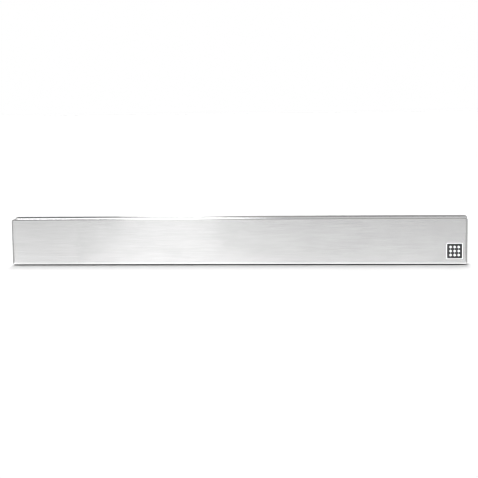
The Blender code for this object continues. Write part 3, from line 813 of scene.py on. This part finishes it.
def make_wall_rail(material):
    """The steel strip on the wall, stepped out along its top, with countersunk holes and slots."""
    low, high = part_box("wall_rail")
    half = RAIL_SHEET / 2
    step_low, step_high = RAIL_STEP_Z
    base_y, lip_y = high.y - half, low.y + half
    path = [(base_y, low.z), (base_y, step_low), (lip_y, step_high), (lip_y, high.z)]
    rows = bend_rows(path, RAIL_SHEET, RAIL_BEND)
    outline = rectangle((low.x, 0), (high.x, rows[-1][0]), RAIL_CORNER)
    outer = front_round(outline, -half, SHEARED_EDGE) + rear_round(outline, half, SHEARED_EDGE)
    holes = []
    for x, length in ((ROUND_HOLE_X, 2 * HOLE_RADIUS), (SLOT_X, SLOT_LENGTH)):
        for side in SIDES:
            holes.append(sunk_hole_rings(slot(length, HOLE_RADIUS, (side * x, HOLE_HEIGHT)), half))
    bm = plate(outer, holes)
    bend_plate(bm, rows)
    rail = solid_object("stepped_rail", bm)
    finish_piece(rail, material, "wall_side", "zinc_steel", "wall_rail")


def make_hooks(material):
    """The two hooks: up from the rivets, over the rail's lip, and down behind it."""
    for name in ("hanger_left", "hanger_right"):
        low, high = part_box(name)
        half = HOOK_SHEET / 2
        base_y, tongue_y, top_z = low.y + half, high.y - half, high.z - half
        path = [(base_y, low.z), (base_y, top_z), (tongue_y, top_z), (tongue_y, TONGUE_TIP_Z)]
        rows = bend_rows(path, HOOK_SHEET, HOOK_BEND)
        outline = rectangle((low.x, 0), (high.x, rows[-1][0]), HOOK_CORNER)
        edge = SHEARED_EDGE / 2
        outer = front_round(outline, -half, edge) + rear_round(outline, half, edge)
        holes = []
        for side in SIDES:
            place = ((low.x + high.x) / 2 + side * RIVET_X, RIVET_HEIGHT)
            hole = circle(RIVET_HOLE, place)
            rings = front_round(hole, -half, edge, side=-1)
            holes.append(rings + rear_round(hole, half, edge, side=-1))
        bm = plate(outer, holes)
        bend_plate(bm, rows)
        hook = solid_object(name.replace("hanger", "rail_hook"), bm)
        finish_piece(hook, material, "rack", "zinc_steel", name)


def coat_inner_nodes(finishes):
    """Gives the CAD pieces that are kept a material by the start of their names."""
    for name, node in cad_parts.items():
        for start, material in finishes.items():
            if name.startswith(start):
                node.material_slots[0].material = material


# Studio


def make_camera():
    azimuth, elevation = CAMERA_AZIMUTH, CAMERA_ELEVATION
    back = Vector((
        math.sin(azimuth) * math.cos(elevation),
        -math.cos(azimuth) * math.cos(elevation),
        math.sin(elevation),
    ))
    right = Vector((0, 0, 1)).cross(back).normalized()
    level = Matrix((right, back.cross(right), back)).transposed()
    turned_level = level @ Matrix.Rotation(CAMERA_ROLL, 3, "Z")
    camera = bpy.data.objects.new("camera", bpy.data.cameras.new("camera"))
    camera.data.lens = CAMERA_LENS
    camera.data.sensor_width = CAMERA_SENSOR
    place = Matrix.Translation(CAMERA_TARGET + back * CAMERA_DISTANCE)
    camera.matrix_world = place @ turned_level.to_4x4()
    bpy.context.scene.collection.objects.link(camera)
    bpy.context.scene.camera = camera
    return camera


def make_floor():
    bm = bmesh.new()
    bmesh.ops.create_grid(bm, x_segments=1, y_segments=1, size=GROUND_HALF)
    floor = solid_object("floor", bm)
    floor.location.z = cad_bounds[0].z
    material, shader = new_material("floor", (GROUND_GREY,) * 3, GROUND_ROUGHNESS)
    shader.inputs["Specular IOR Level"].default_value = GROUND_SPECULAR
    floor.data.materials.append(material)


def make_world():
    """White to the camera; to the metal a studio that is darker towards the ceiling."""
    world = bpy.data.worlds.new("studio")
    bpy.context.scene.world = world
    world.use_nodes = True
    nodes, links = world.node_tree.nodes, world.node_tree.links
    room = nodes["Background"]
    backdrop = nodes.new("ShaderNodeBackground")
    backdrop.inputs["Color"].default_value = (1, 1, 1, 1)
    place = nodes.new("ShaderNodeTexCoord")
    split = nodes.new("ShaderNodeSeparateXYZ")
    ramp = add_ramp(nodes, ROOM_LEVELS)
    links.new(place.outputs["Generated"], split.inputs["Vector"])
    links.new(split.outputs["Z"], ramp.inputs["Fac"])
    links.new(ramp.outputs["Color"], room.inputs["Color"])
    path = nodes.new("ShaderNodeLightPath")
    choose = nodes.new("ShaderNodeMixShader")
    links.new(path.outputs["Is Camera Ray"], choose.inputs["Fac"])
    links.new(room.outputs["Background"], choose.inputs[1])
    links.new(backdrop.outputs["Background"], choose.inputs[2])
    links.new(choose.outputs["Shader"], nodes["World Output"].inputs["Surface"])


def add_ramp(nodes, levels):
    """A ramp of greys from (position, level) pairs."""
    ramp = nodes.new("ShaderNodeValToRGB")
    ramp.color_ramp.interpolation = "EASE"
    stops = ramp.color_ramp.elements
    while len(stops) < len(levels):
        stops.new(1.0)
    for stop, (position, level) in zip(stops, levels):
        stop.position = position
        stop.color = (level, level, level, 1)
    return ramp


def smooth(value, start, end):
    """0 at start, 1 at end, and smooth between them."""
    share = min(max((value - start) / (end - start), 0.0), 1.0)
    return share * share * (3 - 2 * share)


def glow_material(name, lets_through):
    material = bpy.data.materials.new(name)
    material.use_nodes = True
    nodes, links = material.node_tree.nodes, material.node_tree.links
    nodes.clear()
    level = nodes.new("ShaderNodeAttribute")
    level.attribute_name = "glow"
    glow = nodes.new("ShaderNodeEmission")
    links.new(level.outputs["Fac"], glow.inputs["Strength"])
    output = nodes.new("ShaderNodeOutputMaterial")
    shader = glow.outputs["Emission"]
    if lets_through:
        clear = nodes.new("ShaderNodeBsdfTransparent")
        both = nodes.new("ShaderNodeAddShader")
        links.new(shader, both.inputs[0])
        links.new(clear.outputs["BSDF"], both.inputs[1])
        shader = both.outputs["Shader"]
    links.new(shader, output.inputs["Surface"])
    return material


def light_card(name, path, span, level, camera):
    """A card that only gloss sees, along path, a list of (y, z).

    It spans what the camera sees mirrored in the rack's face from one x to another, and level(x, y, z)
    gives how much brightness it adds there.
    """
    camera_x = camera.matrix_world.translation.x
    low = cad_bounds[0]
    stations = [Vector(path[0])]
    for start, end in zip(path, path[1:]):
        for step in range(CARD_STEPS):
            stations.append(Vector(start).lerp(Vector(end), (step + 1) / CARD_STEPS))
    bm = bmesh.new()
    glow = bm.verts.layers.float.new("glow")
    rows = []
    for y, z in stations:
        spread = math.hypot(y - low.y, z - low.z) / CAMERA_DISTANCE
        row = []
        for step in range(CARD_STEPS + 1):
            x = span[0] + (span[1] - span[0]) * step / CARD_STEPS
            corner = bm.verts.new((x + (x - camera_x) * spread, y, z))
            corner[glow] = level(x, y, z)
            row.append(corner)
        rows.append(row)
    for row, following in zip(rows, rows[1:]):
        for i in range(CARD_STEPS):
            bm.faces.new((row[i], row[i + 1], following[i + 1], following[i]))
    stage_card(name, bm, lets_through=True)


def stage_card(name, bm, lets_through):
    card = solid_object(name, bm)
    card.data.materials.append(glow_material(name, lets_through))
    card.visible_camera = False
    card.visible_diffuse = False
    card.visible_shadow = False


def make_lights(camera):
    """A strip of soft key light from above and behind, and the cards that the brushed steel reflects."""
    for i, tilt in enumerate(KEY_TILTS):
        key = bpy.data.lights.new(f"key_{i + 1}", "SUN")
        key.energy = KEY_ENERGY / len(KEY_TILTS)
        key.angle = KEY_ANGLE
        lamp = bpy.data.objects.new(key.name, key)
        lamp.rotation_euler = (math.radians(-tilt), 0, KEY_TURN)
        lamp.visible_glossy = False
        bpy.context.scene.collection.objects.link(lamp)

    low = cad_bounds[0]
    ground = low.z + CARD_GAP
    front = low.y - CARD_GAP

    def away(y, z):
        return math.hypot(y - low.y, z - low.z)

    def floor_level(x, y, z):
        near = FLOOR_GLOW * (1 - smooth(away(y, z), 0, FLOOR_GLOW_REACH))
        edge = EDGE_GLOW * (1 - smooth(away(y, z), 0, EDGE_GLOW_REACH))
        far = FLOOR_FAR * (1 - smooth(x, *FLOOR_FADE))
        return (near + edge + far) * (1 - smooth(abs(x), FLOOR_END, FLOOR_SPAN[1]))

    path = [(front, ground), (CARD_FRONT_Y, ground)]
    light_card("floor_card", path, FLOOR_SPAN, floor_level, camera)

    def band_level(x, y, z):
        lean = smooth(away(y, z), 0, BAND_LEAN)
        left = BAND_LEFT_LOW + (BAND_LEFT_HIGH - BAND_LEFT_LOW) * lean
        overhead = smooth(z, *OVERHEAD_Z)
        low_level = BAND_NEAR + (BAND_FAR - BAND_NEAR) * lean
        full = low_level + (BAND_HIGH - low_level) * overhead
        body = full * (1 - smooth(x, BAND_RIGHT - BAND_RIGHT_FADE, BAND_RIGHT))
        tail = BAND_TAIL * (1 - lean) * (1 - smooth(x, BAND_RIGHT, BAND_TAIL_END))
        return smooth(x, left, left + BAND_LEFT_FADE) * max(body, tail, ROOF_RIGHT * overhead)

    foot = ground + BAND_ABOVE
    path = [(front, foot), (CARD_FRONT_Y, foot), (CARD_FRONT_Y, ROOF_Z), (ROOF_BACK_Y, ROOF_Z)]
    light_card("band_card", path, (BAND_LEFT_LOW, ROOF_END), band_level, camera)

    def rear_level(x, y, z):
        return REAR_GLOW_LEFT + (REAR_GLOW_RIGHT - REAR_GLOW_LEFT) * smooth(x, *REAR_STEP)

    path = [(REAR_Y, ground), (REAR_Y, REAR_HEIGHT)]
    light_card("rear_card", path, REAR_SPAN, rear_level, camera)
    flag("left_flag", -1, LEFT_FLAG_FRONT)
    flag("right_flag", 1, RIGHT_FLAG_FRONT)


def flag(name, side, front):
    """A dim card that leans away from one end of the rack, which its end bend reflects."""
    low = cad_bounds[0]
    bm = bmesh.new()
    glow = bm.verts.layers.float.new("glow")
    corners = []
    foot, top = (FLAG_FOOT, CARD_GAP), (FLAG_TOP, FLAG_HEIGHT)
    for y, (x, z) in ((front, foot), (FLAG_BACK, foot), (FLAG_BACK, top), (front, top)):
        corner = bm.verts.new((side * x, y, low.z + z))
        corner[glow] = FLAG_LEVEL
        corners.append(corner)
    bm.faces.new(corners)
    stage_card(name, bm, lets_through=False)


def main():
    bpy.context.scene.view_settings.view_transform = "Standard"
    bpy.context.scene.cycles.filter_width = 1.0
    plastic = moulded_plastic("moulded_black", level=0.03, roughness=0.5)
    zinc = zinc_plate("zinc_plated_sheet", brightness=0.6, roughness=0.36)
    fasteners = zinc_plate("zinc_plated_fasteners", brightness=0.66, roughness=0.3)
    bright_cut = ground_metal("bright_cut_rim", brightness=0.95, roughness=0.45)
    lozenge_metal = ground_metal("ground_metal", brightness=0.82, roughness=0.25)
    make_front_cover(brushed_steel(), bright_cut)
    make_badge(badge_enamel(), lozenge_metal)
    make_back_cover(plastic)
    make_screws(fasteners)
    make_bumpers(dull_rubber())
    make_wall_rail(zinc)
    make_hooks(zinc)
    coat_inner_nodes({
        "magnet_carrier": plastic,
        "magnet_upper": sintered_ferrite(),
        "magnet_lower": sintered_ferrite(),
        "adhesive_tape": foam_tape(),
        "yoke_plate": zinc,
        "hanger_rivet": fasteners,
    })
    camera = make_camera()
    make_floor()
    make_world()
    make_lights(camera)


main()
